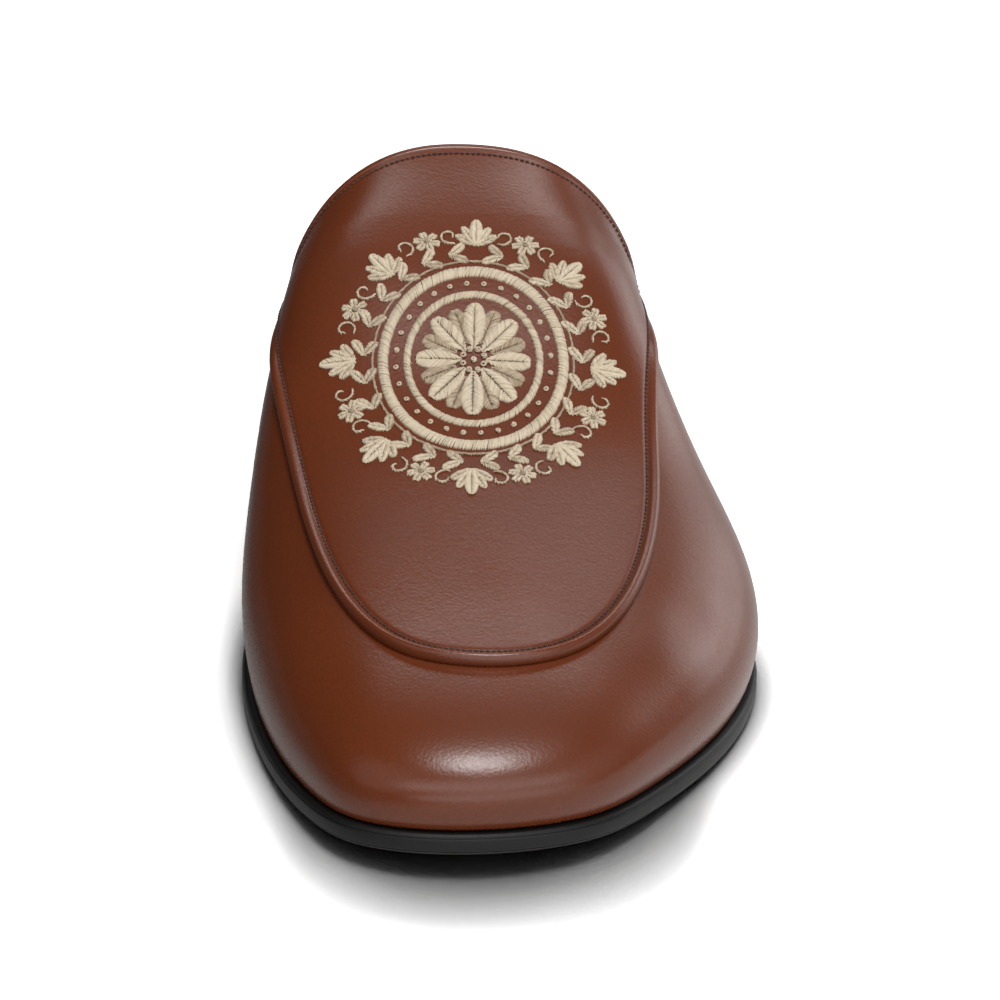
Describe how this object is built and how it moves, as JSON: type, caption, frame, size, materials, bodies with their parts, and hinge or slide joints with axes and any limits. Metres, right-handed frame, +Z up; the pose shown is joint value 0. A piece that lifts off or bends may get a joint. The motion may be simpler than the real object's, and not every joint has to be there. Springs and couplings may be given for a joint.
{
  "type": "mule",
  "caption": "Left backless loafer mule in smooth brown leather: a stitched, embroidered apron over a hollow upper, a full leather insole and a black sole with a low stacked heel.",
  "frame": {"origin": "middle of the shoe's footprint, on the floor that it stands on", "axes": "+Y from the toe to the heel, +X to the outer side of the left foot, +Z up"},
  "size_m": [0.1079, 0.29, 0.0826],
  "materials": {
    "brown_leather": "polished smooth reddish-brown calf leather, fine grain, soft gloss",
    "insole_leather": "plain brown lining leather, satin",
    "black_edge": "black dyed and waxed edge of sole leather, half gloss",
    "black_rubber": "matt black rubber"
  },
  "bodies": {
    "root": {"outsole": "black_edge", "heel": "black_edge", "heel_top_lift": "black_rubber", "insole": "insole_leather", "upper": "brown_leather", "apron": "brown_leather"}
  },
  "joints": []
}
